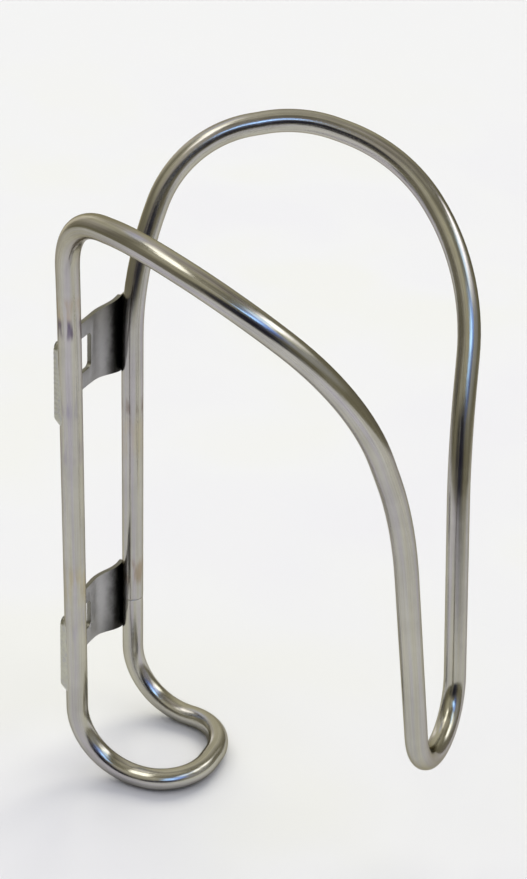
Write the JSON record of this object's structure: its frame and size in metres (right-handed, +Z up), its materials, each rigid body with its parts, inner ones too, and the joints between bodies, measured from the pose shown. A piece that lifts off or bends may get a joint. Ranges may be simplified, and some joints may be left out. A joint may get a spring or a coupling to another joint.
{
  "type": "bicycle bottle cage",
  "caption": "Bicycle bottle cage of one bent stainless tube, with two sheet tabs slotted for frame bolts welded behind its rails.",
  "frame": {"origin": "midway between the two bolt slots, on the back plane of the tabs, where the cage meets the bicycle frame", "axes": "+X from the bicycle frame into the bottle space, +Y towards the cage's right-hand side seen from the bottle, +Z up along the line of bolts"},
  "size_m": [0.0862, 0.085, 0.1417],
  "materials": {
    "tube_steel": "satin stainless with faint heat tint beside the welds",
    "plug_steel": "plain turned rod",
    "sheet_steel": "matte mill-finish sheet",
    "weld_steel": "weld bead, slightly tinted"
  },
  "bodies": {
    "root": {"frame_tube": "tube_steel", "joint_plug": "plug_steel", "upper_tab": "sheet_steel", "lower_tab": "sheet_steel", "weld_upper_left": "weld_steel", "weld_upper_right": "weld_steel", "weld_lower_left": "weld_steel", "weld_lower_right": "weld_steel"}
  },
  "joints": []
}
